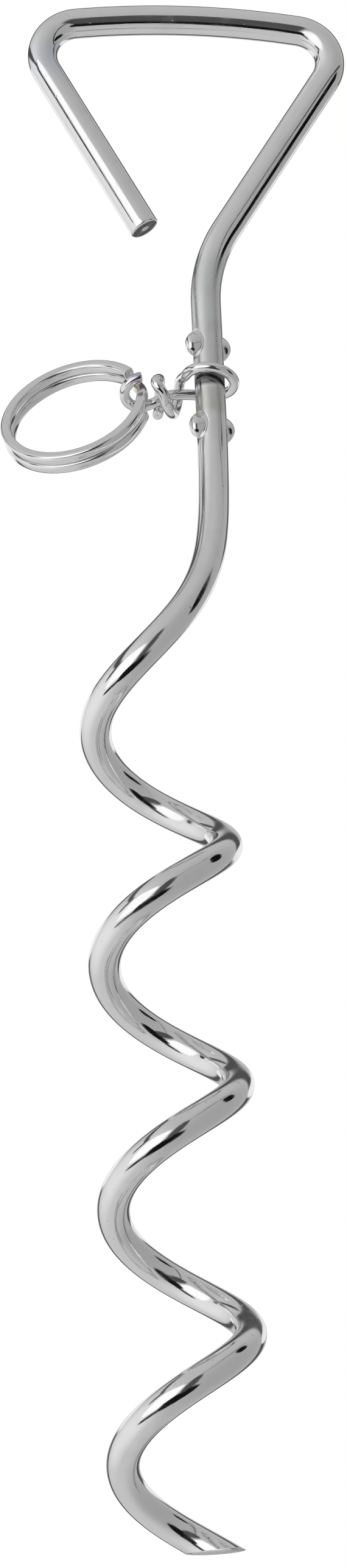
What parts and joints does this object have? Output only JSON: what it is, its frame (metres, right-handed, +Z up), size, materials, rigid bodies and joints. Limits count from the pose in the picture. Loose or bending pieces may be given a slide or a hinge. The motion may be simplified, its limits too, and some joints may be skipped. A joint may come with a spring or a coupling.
{
  "type": "spiral ground stake",
  "caption": "Chrome-plated corkscrew ground stake with a triangular hand grip, and a wire swivel that turns on its shank between pinched stop ears and carries a split ring.",
  "frame": {"origin": "on the axis of the straight shank, at the ground line where the bar starts to leave that axis", "axes": "+Z up along the shank, the flat triangular handle in the XZ plane with its joined arm at +X and its free arm at -X, +Y away from the front view"},
  "size_m": [0.0959, 0.0403, 0.4134],
  "materials": {
    "bar": "bright plated steel, lightly rubbed on the shank",
    "swivel_wire": "bright plated wire with faint heat tints at the eye",
    "ring_wire": "bright plated spring wire"
  },
  "bodies": {
    "stake": {"handle_free_arm": "bar", "handle_free_corner": "bar", "handle_grip_bar": "bar", "handle_joined_corner": "bar", "handle_joined_arm": "bar", "handle_neck": "bar", "shank": "bar", "upper_left_ear": "bar", "upper_right_ear": "bar", "lower_left_ear": "bar", "lower_right_ear": "bar", "spiral_lead_in": "bar", "spiral_turn_1": "bar", "spiral_turn_2": "bar", "spiral_turn_3": "bar", "spiral_point": "bar"},
    "swivel": {"swivel_collar": "swivel_wire", "swivel_stem": "swivel_wire", "swivel_tie": "swivel_wire", "swivel_eye": "swivel_wire", "swivel_tail": "swivel_wire"},
    "ring": {"split_ring": "ring_wire"}
  },
  "joints": [
    {"name": "swivel_spin", "type": "hinge", "parent": "stake", "child": "swivel", "pos_m": [0, 0, 0.0172], "axis": [0, 0, 1], "continuous": true},
    {"name": "ring_swing", "type": "hinge", "parent": "swivel", "child": "ring", "pos_m": [-0.0179, -0.0004, 0.0144], "axis": [-0.1432, 0.5176, 0.8436], "range_deg": [-100, 140]}
  ]
}
